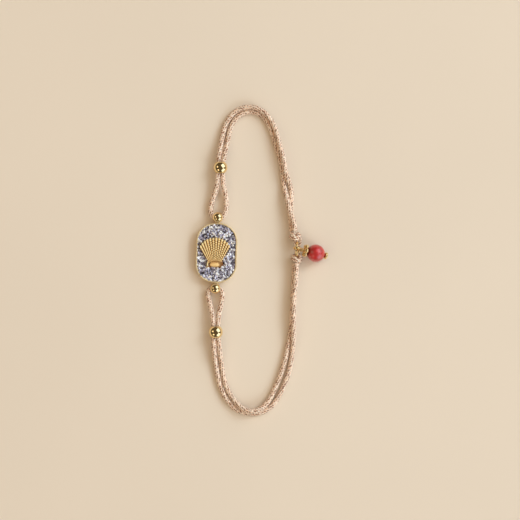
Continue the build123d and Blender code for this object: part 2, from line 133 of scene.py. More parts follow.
class TraySettings(bpy.types.PropertyGroup):
    width: length("Width", "Width of the tray", 10.3)
    length: length("Length", "Length of the tray", 15.1)
    corner: length("Corner radius", "Radius of the four corner arcs", 4.6)
    end: length("End radius", "Radius of the two end arcs", 6.5)
    floor: length("Floor", "Thickness of the tray's floor", 0.5)
    height: length("Height", "Height of the rim", 1.85)
    wall: length("Wall", "Thickness of the rim", 0.4)
    ball: length("Ball diameter", "Diameter of the ball at each end", 2.6)
    eye_setback: length("Eye setback", "How far the eye's middle lies inside the ball's", 0.22)
    eye_height: length("Eye height", "Height of the eye's middle", 1.1)
    eye_bore: length("Eye bore", "Radius of the eye's hole", 0.75)
    eye_length: length("Eye length", "Length of the eye's band", 1.1)
    fold: length("Fold", "Radius of the cord's fold through the eye", 1.85)
    gold: colour("Gold", "Pale gold of the tray", (1.0, 0.79, 0.46))


class DruzySettings(bpy.types.PropertyGroup):
    spacing: length("Spacing", "Distance between neighbouring crystals", 0.4)
    crystal: length("Crystal", "Mean width of a crystal", 0.5)
    foot: length("Foot", "Height at which the crystals begin", 1.0)
    # The light colour paints the glints, and the dark colour also paints the shade in the clefts.
    light: colour("Light", "Palest facets", (1.0, 1.0, 1.0))
    middle: colour("Middle", "Lavender grey of most facets", (0.60, 0.56, 0.70))
    dark: colour("Dark", "Darkest facets", (0.045, 0.035, 0.055))


class ShellSettings(bpy.types.PropertyGroup):
    ribs: IntProperty(name="Ribs", description="Number of ribs of the fan", default=12, min=2)
    reach: length("Reach", "Distance from the fan's apex to its edge", 8.7)
    side_drop: length("Side drop", "How much less far the fan reaches at its two sides", 1.3)
    neck: length("Neck", "Distance from the fan's apex to the hinge", 3.0)
    half_angle: FloatProperty(name="Half angle", description="Angle of the fan each side of its middle",
                              default=math.radians(31), subtype="ANGLE")
    edge_height: length("Edge height", "Height of the fan's edge over its seat", 0.45)
    crown: length("Crown", "Rise of the dome over the edge", 0.75)
    rib_height: length("Rib height", "Height of the ribs over their seams", 0.38)
    granule: length("Granule", "Distance between the granules on a rib", 0.58)
    granule_height: length("Granule height", "Height of the granules and of each rib's last knob", 0.2)
    gold: colour("Gold", "Satin gold of the shell", (1.0, 0.66, 0.27))
    # The worn gold is the colour of the painted highlights, and the seam colour is that of the painted shade in the
    # seams.
    painted_lit: colour("Worn gold", "Yellow gold of the worn tops", (1.0, 0.84, 0.43))
    seam: colour("Seam", "Darker gold in the seams", (0.23, 0.068, 0.012))


class FindingSettings(bpy.types.PropertyGroup):
    gap: length("Gap", "Gap between neighbouring pieces", 0.05)
    slider: length("Slider bead", "Diameter of the slider beads", 3.5)
    slider_bore: length("Slider bore", "Bore of the slider beads", 2.1)
    ring: length("Jump ring", "Outer diameter of the jump ring", 4.0)
    ring_wire: length("Ring wire", "Wire of the jump ring", 0.6)
    pin_wire: length("Pin wire", "Wire of the head pin", 0.5)
    pin_eye: length("Pin eye", "Radius of the pin's eye", 0.75)
    pin_eye_wire: length("Pin eye wire", "Wire of the pin's eye", 0.45)
    pin_head: length("Pin head", "Diameter of the pin's head", 1.7)
    pin_head_thickness: length("Pin head thickness", "Thickness of the pin's head", 0.8)
    granule: length("Daisy granule", "Radius of the daisy's granules", 0.54)
    granule_ring: length("Daisy ring", "Radius of the ring on which the granules lie", 1.13)
    coral: length("Coral bead", "Diameter of the coral bead", 4.46)
    hole_gap: length("Hole gap", "Gap between the pin and the hole of the bead", 0.1)
    gold: colour("Gold", "Polished gold of the beads", (1.0, 0.78, 0.42))
    wire_gold: colour("Wire gold", "Redder gold of the ring, the pin and the daisy", (1.0, 0.72, 0.34))
    red: colour("Coral red", "Red of the coral bead", (0.65, 0.012, 0.014))
    pits: colour("Coral pits", "Darker red of the coral's small pits", (0.30, 0.01, 0.01))
    # The drilled colour is the painted shade beside the daisy and under the pin's head.
    drilled: colour("Drilled coral", "Dark red round the bead's hole", (0.20, 0.008, 0.006))


class StageSettings(bpy.types.PropertyGroup):
    floor: colour("Floor", "Pale warm floor", (0.82, 0.70, 0.555))
    key: factor("Light", "Brightness of all lamps together", 0.98, most=4)
    view_width: length("View width", "Width of the floor that the camera sees", 130.0)
    view_height: length("View height", "Height of the camera over the floor", 500.0)


# Shader maths


class Value:
    """One output socket, so that shader maths reads as plain Python."""

    def __init__(self, finish, socket):
        self.finish = finish
        self.socket = socket

    def maths(self, operation, *values):
        """A Math node of that operation on these values."""
        node = self.finish.node("ShaderNodeMath", {"operation": operation}, dict(enumerate(values)))
        return Value(self.finish, node.outputs[0])

    def __add__(self, other):
        return self.maths("ADD", self, other)

    __radd__ = __add__

    def __sub__(self, other):
        return self.maths("SUBTRACT", self, other)

    def __rsub__(self, other):
        return self.maths("SUBTRACT", other, self)

    def __mul__(self, other):
        return self.maths("MULTIPLY", self, other)

    __rmul__ = __mul__

    def above(self, limit):
        """1 where this value is above the limit, otherwise 0."""
        return self.maths("GREATER_THAN", self, limit)

    def between(self, low, high):
        """0 at low, 1 at high, smooth and clamped between them."""
        settings = {"interpolation_type": "SMOOTHSTEP"}
        node = self.finish.node("ShaderNodeMapRange", settings, {"Value": self, "From Min": low, "From Max": high})
        return Value(self.finish, node.outputs["Result"])


class Finish:
    """A material under construction: nodes are added by kind, and its shader is set at the end."""

    def __init__(self, name):
        self.material = bpy.data.materials.new(name)
        self.material.use_nodes = True
        self.tree = self.material.node_tree
        self.tree.nodes.clear()

    def node(self, kind, settings=None, values=None):
        """A node of that kind: its settings come first, then numbers, colours or links for its sockets."""
        node = self.tree.nodes.new(kind)
        for name, setting in (settings or {}).items():
            setattr(node, name, setting)
        for name, value in (values or {}).items():
            self.plug(node.inputs[name], value)
        return node

    def plug(self, socket, value):
        """Links a Value to the socket, or sets a number or a colour on it."""
        if isinstance(value, Value):
            self.tree.links.new(value.socket, socket)
        elif socket.type == "RGBA":
            socket.default_value = (*value, 1)
        else:
            socket.default_value = value

    def position(self):
        """The point on the object, in metres."""
        return Value(self, self.node("ShaderNodeTexCoord").outputs["Object"])

    def noise(self, scale, detail, roughness=0.5):
        """Fractal noise on Object coordinates; scale is in cycles per metre."""
        node = self.node("ShaderNodeTexNoise", None, {"Vector": self.position(), "Scale": scale, "Detail": detail,
                                                      "Roughness": roughness})
        return Value(self, node.outputs["Fac"])

    def shade(self):
        """The three numbers that a piece keeps at each of its points."""
        node = self.node("ShaderNodeAttribute", {"attribute_name": "shade"})
        parts = self.node("ShaderNodeSeparateColor", None, {"Color": Value(self, node.outputs["Color"])})
        return [Value(self, parts.outputs[k]) for k in range(3)]

    def mix(self, share, low, high):
        """The low colour where the share is 0 and the high colour where it is 1."""
        node = self.node("ShaderNodeMix", {"data_type": "RGBA"}, {0: share})
        self.plug(node.inputs[6], low)
        self.plug(node.inputs[7], high)
        return Value(self, node.outputs[2])

    def bump(self, height, strength, distance):
        """The normal of a surface with this height, in shares of the distance in metres."""
        node = self.node("ShaderNodeBump", None, {"Strength": strength, "Distance": distance, "Height": height})
        return Value(self, node.outputs["Normal"])

    def shader(self, **values):
        """The principled shader that ends the material; names have underscores for spaces."""
        named = {name.replace("_", " "): value for name, value in values.items()}
        shader = self.node("ShaderNodeBsdfPrincipled", None, named)
        output = self.node("ShaderNodeOutputMaterial")
        self.tree.links.new(shader.outputs[0], output.inputs[0])
        return self.material


def dimmed(colour_value, share):
    """A colour with each of its parts multiplied by a share."""
    return tuple(share * part for part in colour_value)


def polished_gold(name, gold, roughness, metallic=1.0):
    """Plated gold: broad colour drift, fine handling marks in its roughness and a soft ripple."""
    finish = Finish(name)
    drift = finish.noise(420.0, 2.0)
    marks = finish.noise(5200.0, 4.0, 0.65)
    ripple = finish.noise(900.0, 2.0)
    return finish.shader(
        Base_Color=finish.mix(drift.between(0.35, 0.7), dimmed(gold, 0.88), gold),
        Metallic=metallic,
        Roughness=marks.between(0.3, 0.8) * 0.10 + roughness,
        Normal=finish.bump(ripple, 0.10, 0.00008),
    )


def shell_gold(settings):
    """Satin cast gold, painted dark in the seams and between the granules as shade, and painted lighter on the granule
    tops, the knobs and the smooth ribs at the left as highlights.
    """
    finish = Finish("satin_gold")
    height, granule, side = finish.shade()
    grain = finish.noise(9000.0, 3.0, 0.6)
    # Painted shade: the share of gold over the seam colour is low in the seams and in the dips between the granules.
    painted_lit = (height * 0.85 + granule * 0.6 - 0.25).between(0.12, 0.60)
    gold = finish.mix(painted_lit, settings.seam, settings.gold)
    # Painted highlights: the granule tops, the knobs and the raised ribs at the left, where the third number is high.
    painted_highlight = granule.between(0.52, 0.9) * 0.95 + (side * height).between(0.35, 0.95) * 0.8
    return finish.shader(
        Base_Color=finish.mix(painted_highlight, gold, settings.painted_lit),
        Metallic=0.62 - 0.5 * painted_lit,
        Roughness=grain.between(0.2, 0.8) * 0.12 + (0.46 - 0.14 * painted_lit),
        Normal=finish.bump(grain, 0.3, 0.00003),
    )


def druzy_quartz(settings):
    """Coated quartz: each crystal has its own tone, with painted shade low in the clefts and painted glints in the
    palest colour, more towards the tips.
    """
    finish = Finish("druzy_quartz")
    tone, depth, painted_glint = finish.shade()
    veil = finish.noise(1500.0, 3.0)
    # Random tone, painted darker towards the feet of the crystals as shade in the clefts.
    pale = (tone * 0.8 + veil * 0.3 + depth * 0.25).between(0.25, 0.82)
    # Painted glints: the palest colour where the glint number is high.
    clear = (painted_glint * 0.8 + depth * 0.3 + veil * 0.15).between(0.72, 0.8)
    tone_and_cleft_shade = finish.mix(pale, settings.dark, settings.middle)
    return finish.shader(
        Base_Color=finish.mix(clear, tone_and_cleft_shade, settings.light),
        Metallic=0.14 + tone * 0.25 - clear * 0.12,
        Roughness=0.10 + veil * 0.10,
        Coat_Weight=1.0,
        Coat_Roughness=0.08,
        Coat_IOR=2.1,
    )


def braided_satin(name, settings, pit_shade, edge, paler):
    """Braided satin yarn: painted shade in the pits and between the yarns, pink and pale yarns, some of bright metal
    thread.

    The opening sets the painted shade in the pits and the edge sets the painted shade along the low
    borders between the yarns, and paler is the share by which more yarns turn pale. The yarns with the lowest numbers
    are dark flecks, in the same dark colour as the painted shade.
    """
    finish = Finish(name)
    height, pit, cell = finish.shade()
    fibre = finish.noise(14000.0, 3.0, 0.7)
    patch = finish.noise(1500.0, 3.0)
    fleck = 1 - cell.between(0.19, 0.34)
    pale = (cell * 0.9 + patch * 0.3 + paler).between(0.5, 1.0)
    metal = cell.above(0.84)
    yarns = finish.mix(metal, finish.mix(pale, settings.satin, settings.shine), settings.thread)
    # Painted shade: dark in the pits, along the low borders and on the low flanks of each yarn, lighter on its raised
    # middle; the fleck yarns and the patches are the yarn's own colour.
    closed = 0.85 + 0.45 * height - edge * (1 - height) - pit * pit_shade - fleck + (patch - 0.5) * 0.6
    return finish.shader(
        Base_Color=finish.mix(closed.between(0.1, 0.85), settings.fleck, yarns),
        Metallic=metal * 0.6,
        Roughness=0.58 - 0.22 * height,
        Sheen_Weight=0.2,
        Normal=finish.bump(fibre, 0.4, 0.00004),
    )


def coral_red(settings):
    """Polished coral: deep red with paler growth bands and small darker pits, and painted shade beside the daisy and
    round the hole under the pin's head.
    """
    finish = Finish("coral_red")
    # The first number is painted shade beside the daisy and under the pin's head; the coat is left off there.
    drilled, _, _ = finish.shade()
    bands = finish.noise(520.0, 3.0, 0.6)
    pits = finish.noise(3800.0, 2.0)
    body = finish.mix(bands.between(0.3, 0.7), dimmed(settings.red, 0.6), settings.red)
    pitted = finish.mix(pits.between(0.62, 0.75), body, settings.pits)
    return finish.shader(
        Base_Color=finish.mix(drilled, pitted, settings.drilled),
        Roughness=0.36 + bands * 0.1,
        Specular_IOR_Level=0.66,
        Specular_Tint=(1.0, 0.86, 0.78),
        Coat_Weight=1.0 - drilled,
        Coat_Roughness=0.3,
        Coat_IOR=1.7,
        Normal=finish.bump(pits, 0.12, 0.00005),
    )


def floor_finish(settings):
    """Matt painted board with a slow drift of tone."""
    finish = Finish("floor")
    drift = finish.noise(14.0, 2.0)
    return finish.shader(
        Base_Color=finish.mix(drift.between(0.2, 0.8), dimmed(settings.floor, 0.97), settings.floor),
        Roughness=0.9,
    )


# Surfaces


class Shape:
    """Points, faces and three shading numbers for each point; shapes add up to one piece."""

    def __init__(self, points, faces, shade=None):
        self.points = np.asarray(points, float).reshape(-1, 3)
        self.faces = faces
        self.shade = np.zeros((len(self.points), 3)) if shade is None else np.asarray(shade, float).reshape(-1, 3)

    def __add__(self, other):
        moved = [part + len(self.points) for part in other.faces]
        return Shape(np.vstack([self.points, other.points]), self.faces + moved, np.vstack([self.shade, other.shade]))


def unit(vectors):
    """Vectors of length 1 in the same directions."""
    vectors = np.asarray(vectors, float)
    return vectors / np.linalg.norm(vectors, axis=-1, keepdims=True)


def circle(count):
    """Even angles once round a circle."""
    return 2 * math.pi * np.arange(count) / count


def spokes(angle, first, second):
    """Vectors at these angles, measured from the first direction towards the second."""
    return np.cos(angle)[..., None] * first + np.sin(angle)[..., None] * second


def bell(distance, width):
    """1 at no distance, less on a bell curve of that width."""
    return np.exp(-((distance / width) ** 2))


def below(value, limit, blur):
    """1 below the limit and 0 above it, with a soft step between them."""
    return 1 / (1 + np.exp((value - limit) / blur))


def share_between(value, low, high):
    """0 at low and 1 at high, in a straight line between them."""
    return np.clip((value - low) / (high - low), 0, 1)


def grid_faces(rows, columns, wrap_rows=False):
    """Quads of a grid whose columns close on themselves, and whose rows do too if asked."""
    i, j = np.meshgrid(np.arange(rows if wrap_rows else rows - 1), np.arange(columns), indexing="ij")
    down, right = (i + 1) % rows, (j + 1) % columns
    corners = (i * columns + j, i * columns + right, down * columns + right, down * columns + j)
    return np.stack(corners, -1).reshape(-1, 4)


def rings(points, shade=None, wrap_rows=False):
    """A surface through closed rings of points; both ends are closed by a fan to their middle."""
    rows, columns = points.shape[:2]
    faces = [grid_faces(rows, columns, wrap_rows)]
    if wrap_rows:
        return Shape(points, faces, shade)
    j = np.arange(columns)
    right = (j + 1) % columns
    last = (rows - 1) * columns
    total = rows * columns
    faces.append(np.stack([right, j, np.full(columns, total)], -1))
    faces.append(np.stack([last + j, last + right, np.full(columns, total + 1)], -1))
    poles = np.stack([points[0].mean(0), points[-1].mean(0)])
    if shade is not None:
        shade = np.vstack([shade.reshape(-1, 3), shade[0].mean(0), shade[-1].mean(0)])
    return Shape(np.vstack([points.reshape(-1, 3), poles]), faces, shade)


def lathe(profile, centre, axis, columns, wrap_rows=False):
    """A profile of (distance along the axis, radius) turned about that axis through the centre."""
    profile = np.asarray(profile, float)
    axis = unit(axis)
    first = np.array([1.0, 0, 0]) if abs(np.dot(axis, UP)) >= 0.99 else unit(np.cross(UP, axis))
    spoke = spokes(circle(columns), first, unit(np.cross(axis, first)))
    points = np.asarray(centre) + profile[:, 0, None, None] * axis + profile[:, 1, None, None] * spoke
    return rings(points, wrap_rows=wrap_rows)


def ball(centre, radius, columns=48, rows=32):
    """Every point at one distance from the centre, in rings between two poles."""
    polar = math.pi * (np.arange(rows) + 0.5) / rows
    return lathe(np.stack([-radius * np.cos(polar), radius * np.sin(polar)], 1), centre, UP, columns)


def wire_loop(centre, first, second, radius, wire, columns=20, rows=96, groove=0.0):
    """A round wire bent into a circle; the groove narrows it a little at its one joint."""
    turn = circle(rows)
    spoke = spokes(turn, first, second)
    thick = wire * (1 - groove * bell(turn - math.pi / 3, 0.03))
    out = spokes(circle(columns), spoke[:, None], np.cross(first, second))
    return rings(centre + radius * spoke[:, None] + thick[:, None, None] * out, wrap_rows=True)


def even_points(path, spacing):
    """Points at even distances along a path, and those distances."""
    steps = np.linalg.norm(np.diff(path, axis=0), axis=1)
    distance = np.concatenate([[0], np.cumsum(steps)])
    even = np.linspace(0, distance[-1], max(3, int(distance[-1] / spacing) + 1))
    return np.stack([np.interp(even, distance, path[:, k]) for k in range(3)], 1), even


def tube_frames(path, hint):
    """At each point of a path: a side vector square to the hint and the path, and a vector square to both."""
    tangent = unit(np.gradient(path, axis=0))
    side = unit(np.cross(hint, tangent))
    return side[:, None], np.cross(tangent, side)[:, None]


def wire_tube(path, wire, hint, columns=16, spacing=0.06 * MM):
    """A round wire carried along a path, with rounded ends: its radius falls off over the last half wire."""
    path, along = even_points(np.asarray(path), spacing)
    end = np.minimum(along, along[-1] - along) / (0.6 * wire)
    taper = np.sqrt(np.clip(1 - (1 - np.clip(end, 0, 1)) ** 2, 0.02, 1))
    out = spokes(circle(columns), *tube_frames(path, hint))
    return rings(path[:, None] + (wire * taper)[:, None, None] * out)


def braid(path, radius, hint, settings, seed, columns=56, spacing=0.09 * MM, squeeze=None, fewer=0):
    """A braided cord along a path.

    Two families of yarns run round the cord in opposite directions, so the point at turn u and
    distance w has the yarn numbers u + w and u - w. The sum of the two whole numbers says which
    yarn is on top, and the surface rises as the sine across that yarn. Where both numbers are near
    whole, four yarns meet round a small pit, a bell curve drawn out along one family of yarns.
    """
    path, along = even_points(np.asarray(path), spacing)
    count = settings.strands - fewer
    turn = np.arange(columns) / columns
    pitch = 2 * math.pi * radius / count * 1.1
    first = turn[None, :] * count + along[:, None] / pitch
    second = turn[None, :] * count - along[:, None] / pitch
    first_cell, second_cell = np.floor(first), np.floor(second)
    first_wave = np.sin(math.pi * (first - first_cell))
    second_wave = np.sin(math.pi * (second - second_cell))
    on_top = (first_cell + second_cell) % 2 == 0
    height = np.where(on_top, first_wave ** 0.6 * (0.6 + 0.4 * second_wave),
                      second_wave ** 0.6 * (0.6 + 0.4 * first_wave))
    first_corner, second_corner = np.round(first), np.round(second)
    chance = np.random.default_rng(seed)
    openness = yarn_shares(chance, count, first_corner, second_corner, 1.0) ** 1.5
    pit = openness * np.exp(-((first - first_corner) ** 2) / 0.07 - (second - second_corner) ** 2 / 0.16)
    cells = yarn_shares(chance, count, first_cell, second_cell, 0.3)
    thick = radius * (1 - settings.relief + settings.relief * (height - 0.55 * pit))
    if squeeze is not None:
        thick = thick * squeeze(path)[:, None]
    out = spokes(2 * math.pi * turn, *tube_frames(path, hint))
    return rings(path[:, None] + thick[..., None] * out, np.stack([height, pit, cells], -1))


def yarn_shares(chance, count, first, second, shaken):
    """A share from 0 to 1 for each cell of a braid, from its two yarn numbers.

    It steps by an uneven fraction from cell to cell, so that the shares spread evenly, plus a
    random share from a table that repeats along the cord only after many cells. The steps add up
    to a whole number once round the cord, where both yarn numbers have grown by the count.
    """
    repeat, step, whole_step = 397, 0.755, 1.325
    table = chance.random((repeat, 2 * count))
    random_share = table[(first - second).astype(int) % repeat, (first + second).astype(int) % (2 * count)]
    even_share = first * step + second * (round(whole_step * count) / count - step)
    return (even_share + shaken * random_share) % 1


def cut(shape, cutter):
    """A mesh of a shape less a cutter, both closed, by Blender's exact Boolean."""
    body = bpy.data.objects.new("body", mesh_data("body", shape))
    tool = bpy.data.objects.new("tool", mesh_data("tool", cutter))
    for item in (body, tool):
        bpy.context.scene.collection.objects.link(item)
    modifier = body.modifiers.new("cut", "BOOLEAN")
    modifier.operation = "DIFFERENCE"
    modifier.solver = "EXACT"
    modifier.object = tool
    mesh = bpy.data.meshes.new_from_object(body.evaluated_get(bpy.context.evaluated_depsgraph_get()))
    for item in (body, tool):
        bpy.data.objects.remove(item)
    return mesh


def mesh_data(name, shape):
    """A mesh of the shape's points and faces, with its shading numbers and outward faces."""
    mesh = bpy.data.meshes.new(name)
    corners = np.concatenate([part.reshape(-1) for part in shape.faces])
    sizes = np.concatenate([np.full(len(part), part.shape[1]) for part in shape.faces])
    mesh.vertices.add(len(shape.points))
    mesh.vertices.foreach_set("co", shape.points.astype(np.float32).reshape(-1))
    mesh.loops.add(len(corners))
    mesh.loops.foreach_set("vertex_index", corners.astype(np.int32))
    mesh.polygons.add(len(sizes))
    mesh.polygons.foreach_set("loop_start", (np.cumsum(sizes) - sizes).astype(np.int32))
    attribute = mesh.attributes.new("shade", "FLOAT_COLOR", "POINT")
    rgba = np.hstack([shape.shade, np.ones((len(shape.shade), 1))])
    attribute.data.foreach_set("color", rgba.astype(np.float32).reshape(-1))
    mesh.update(calc_edges=True)
    work = bmesh.new()
    work.from_mesh(mesh)
    bmesh.ops.recalc_face_normals(work, faces=work.faces)
    work.to_mesh(mesh)
    work.free()
    return mesh


def place(name, shape, material, nodes, smooth=True, sharp=None):
    """Adds a finished piece to the scene: its material and the CAD nodes that it stands for."""
    mesh = mesh_data(name, shape) if isinstance(shape, Shape) else shape
    mesh.materials.append(material)
    mesh.polygons.foreach_set("use_smooth", np.full(len(mesh.polygons), smooth))
    if sharp is not None:
        mesh.set_sharp_from_angle(angle=math.radians(sharp))
    piece = bpy.data.objects.new(name, mesh)
    bpy.context.scene.collection.objects.link(piece)
    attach(piece, "root")
    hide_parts(*nodes)
    return piece


# Places shared by several pieces, in metres and radians

TRAY_CENTRE = np.array([-11.33, -0.825, 0.0]) * MM
TRAY_TURN = math.radians(-2.0)
RING_CENTRE = np.array([8.95, 0.025]) * MM
RING_LEAN = math.radians(12.0)
CORAL_CENTRE = np.array([13.5, -0.92]) * MM
PIN_EYE_OFFSET = np.array([0.15, 0.25, -0.09]) * MM
PIN_EYE_TURN = math.radians(14.0)
SLIDERS = {"upper": np.array([-10.325, 20.5]) * MM, "lower": np.array([-11.5, -20.6]) * MM}
KNOT_SLANT = math.radians(-20.0)
KNOTS = {
    "upper": {"centre": np.array([8.25, 3.30]) * MM, "pitch": 1.15 * MM, "away": 1},
    "lower": {"centre": np.array([8.7, -2.27]) * MM, "pitch": 0.8 * MM, "away": -1},
}
SHELL_APEX = np.array([-0.145, -4.95]) * MM
SHELL_TURN = math.radians(2.7)
SHELL_SEAT = 1.6 * MM
HINGE_HALF = 2.15 * MM


def turned(x, y, angle):
    """The two coordinates after a turn about Z."""
    c, s = math.cos(angle), math.sin(angle)
    return x * c - y * s, x * s + y * c


def on_tray(points):
    """Points from the tray's own frame, in metres, to the bracelet's."""
    points = np.asarray(points, float)
    x, y = turned(points[..., 0], points[..., 1], TRAY_TURN)
    return np.stack([x, y, points[..., 2]], -1) + TRAY_CENTRE


def round_middle(angle, reach, height):
    """Points at these angles and distances from the tray's middle, and at these heights."""
    return np.stack([reach * np.cos(angle), reach * np.sin(angle), np.broadcast_to(height, reach.shape)], -1)


def tray_radius(angle, inset, tray):
    """Distance from the tray's centre to its outline, moved in by inset: sides, corner arcs and end arcs."""
    half_width, half_length = tray.width / 2 - inset, tray.length / 2 - inset
    corner, end = tray.corner - inset, tray.end - inset
    corner_x = half_width - corner
    end_y = half_length - end
    corner_y = end_y + np.sqrt((end - corner) ** 2 - corner_x ** 2)
    c, s = np.abs(np.cos(angle)), np.abs(np.sin(angle))
    straight = half_width / np.maximum(c, 1e-9)
    ahead = corner_x * c + corner_y * s
    around = ahead + np.sqrt(np.maximum(ahead ** 2 - corner_x ** 2 - corner_y ** 2 + corner ** 2, 0))
    cap = end_y * s + np.sqrt((end_y * s) ** 2 - end_y ** 2 + end ** 2)
    on_corner = around * s - end_y <= (corner_y - end_y) / corner_x * around * c
    return np.where(straight * s <= corner_y, straight, np.where(on_corner, around, cap))


def ring_radius(findings):
    """Radius of the jump ring to the middle of its wire."""
    return (findings.ring - findings.ring_wire) / 2


def ring_height(findings):
    """Height of the leaning jump ring's middle, so that its lowest point is on the floor."""
    return ring_radius(findings) * math.cos(RING_LEAN) + findings.ring_wire / 2


def pin_line(findings):
    """The pin's eye, the coral's middle and the direction from one to the other."""
    middle = ring_radius(findings)
    top = np.array([RING_CENTRE[0] - middle * math.sin(RING_LEAN), RING_CENTRE[1],
                    ring_height(findings) + middle * math.cos(RING_LEAN)])
    eye = top + PIN_EYE_OFFSET
    coral = np.array([*CORAL_CENTRE, findings.coral / 2])
    return eye, coral, unit(coral - eye)


def coral_hole(findings):
    """Radius of the coral's hole, and distance from the coral's middle to the hole's mouth."""
    bore = findings.pin_wire / 2 + findings.hole_gap
    return bore, math.sqrt((findings.coral / 2) ** 2 - bore ** 2)


def fan_edge(shell, across_fan):
    """Distance of the fan's edge from its apex: less far out at the two sides, across_fan -1 and 1."""
    return shell.reach - shell.side_drop * np.abs(across_fan) ** 2.6


# The shapes of each group of pieces, and the operator that places them


def tray_shape(tray):
    """The tray's outline carried round a profile of (inset, height): outside, rim, inside and floor."""
    top, wall, floor = tray.height, tray.wall, tray.floor
    bend = np.linspace(0, math.pi, 13)
    rim = np.stack([wall / 2 * (1 - np.cos(bend)), top + wall / 2 * (np.sin(bend) - 1)], 1)
    profile = np.array([
        (2.2 * MM, 0), (0.3 * MM, 0), (0.12 * MM, 0), (0.05 * MM, 0.02 * MM), (0.01 * MM, 0.08 * MM), (0, 0.2 * MM),
        (0, 0.5 * top), *rim, (wall, floor + 0.1 * MM), (wall + 0.05 * MM, floor), (2.2 * MM, floor),
    ])
    angle = circle(288)
    reach = tray_radius(angle[None, :], profile[:, 0, None], tray)
    return rings(on_tray(round_middle(angle, reach, profile[:, 1, None])))


def eye_hole(tray, away, eye_reach):
    """The ring-shaped space that the cord's fold takes through the eye."""
    middle = on_tray([0, away * (eye_reach + tray.fold), tray.eye_height])
    return wire_loop(middle, (1.0, 0, 0), (0, 1.0, 0), tray.fold, tray.eye_bore, 40, 120)


def eye_shape(tray, away, eye_reach):
    """A flared band about the cord's hole, and the neck that joins it to the rim."""
    bore, half = tray.eye_bore, tray.eye_length / 2
    outside, flare, slight_flare, bevel = tray.eye_height - 0.02 * MM, 0.2 * MM, 0.04 * MM, 0.06 * MM
    band = [(-half, bore + flare), (-half * 0.5, bore + slight_flare), (0, bore),
            (half * 0.5, bore + slight_flare), (half, bore + flare), (half, outside - bevel),
            (half * 0.85, outside), (-half * 0.85, outside), (-half, outside - bevel)]
    along = on_tray([1.0, 0, 0]) - on_tray([0, 0, 0])
    shape = lathe(band, on_tray([0, away * eye_reach, tray.eye_height]), along, 56, wrap_rows=True)
    half_width, half_height, lift = 0.6 * MM, 0.72 * MM, 0.03 * MM
    start, end = tray.length / 2 - 0.25 * MM, eye_reach - bore - 0.12 * MM
    spread = np.array([0.72, 0.9, 1.0, 1.0, 0.96, 0.9])[:, None]
    reach = np.linspace(start, end, len(spread))[:, None]
    x, z = (np.sign(wave) * np.abs(wave) ** 0.55 for wave in (np.cos(circle(32)), np.sin(circle(32))))
    neck = np.broadcast_arrays(half_width * x * spread, away * reach, half_height * (1 + z) + lift)
    return shape + rings(on_tray(np.stack(neck, -1)))


class BRACELET_OT_tray(bpy.types.Operator):
    """Build the gold tray with an eye and a polished ball at each end"""

    bl_idname = "bracelet.tray"
    bl_label = "Tray"

    def execute(self, context):
        tray, findings = context.scene.bracelet_tray, context.scene.bracelet_findings
        gold = polished_gold("tray_gold", tray.gold, 0.3, metallic=0.5)
        bright = polished_gold("ball_gold", findings.gold, 0.06)
        place("tray", tray_shape(tray), gold, ["plate"], sharp=50)
        ball_reach = tray.length / 2 + findings.gap + tray.ball / 2
        eye_reach = ball_reach - tray.eye_setback
        ball_height = tray.eye_height + tray.eye_bore + findings.gap
        for name, away in (("upper", 1), ("lower", -1)):
            place("tray_eye_" + name, eye_shape(tray, away, eye_reach), gold, ["plate"], sharp=40)
            whole = ball(on_tray([0, away * ball_reach, ball_height]), tray.ball / 2)
            drilled = cut(whole, eye_hole(tray, away, eye_reach))
            place("tray_ball_" + name, drilled, bright, ["plate"], sharp=40)
        return {"FINISHED"}


def druzy_bed(tray):
    """A rough crust: rings out from the middle, each point lifted by a random share."""
    chance = np.random.default_rng(11)
    share = np.array([0.12, 0.3, 0.45, 0.58, 0.7, 0.8, 0.88, 0.95, 1.0])
    angle = circle(90)
    reach = share[:, None] * tray_radius(angle, tray.wall + 0.03 * MM, tray)
    top = round_middle(angle, reach, 1.15 * MM + 0.3 * MM * chance.random(reach.shape))
    foot = top[-1:] * (1, 1, 0) + (0, 0, tray.floor + 0.05 * MM)
    points = on_tray(np.concatenate([top, foot, foot * (0.2, 0.2, 1)]))
    grid = points.shape[:2]
    # The second number is low, so the bed is painted dark as shade in the clefts; the third gives random painted
    # glints.
    shade = np.stack([chance.random(grid) * 0.6, np.full(grid, 0.1), chance.random(grid)], -1)
    return rings(points, shade)


def crystal_places(tray, druzy, shell, chance):
    """Where crystals stand: a grid shaken at random, less what is at the rim or under the shell.

    Every second row is moved by half a step. It gives two coordinates and the distance to the rim.
    """
    step, row_step = druzy.spacing, 0.87
    half_rows = int(tray.width / 2 / step) + 2
    half_columns = int(tray.length / 2 / (row_step * step)) + 2
    i, j = np.meshgrid(np.arange(-half_rows, half_rows + 1), np.arange(-half_columns, half_columns + 1), indexing="ij")
    x = (i + 0.5 * (j % 2)) * step + (chance.random(i.shape) - 0.5) * 0.7 * step
    y = j * step * row_step + (chance.random(i.shape) - 0.5) * 0.7 * step
    x, y = x.reshape(-1), y.reshape(-1)
    near_rim = tray_radius(np.arctan2(y, x), tray.wall * 0.72, tray) - np.hypot(x, y)
    keep = (near_rim > 0.05 * MM) & ~under_shell(x, y, shell)
    return x[keep], y[keep], near_rim[keep]


def crystal_faces(count):
    """The faces of crystals with thirteen points each: two rings of six corners, and a tip."""
    start = 13 * np.arange(count)[:, None]
    k = np.arange(6)
    after = (k + 1) % 6
    top = np.broadcast_to(start + 12, (count, 6))
    sides = np.stack([start + k, start + after, start + 6 + after, start + 6 + k], -1)
    tips = np.stack([start + 6 + k, start + 6 + after, top], -1)
    return [sides.reshape(-1, 4), tips.reshape(-1, 3), start + k[::-1]]


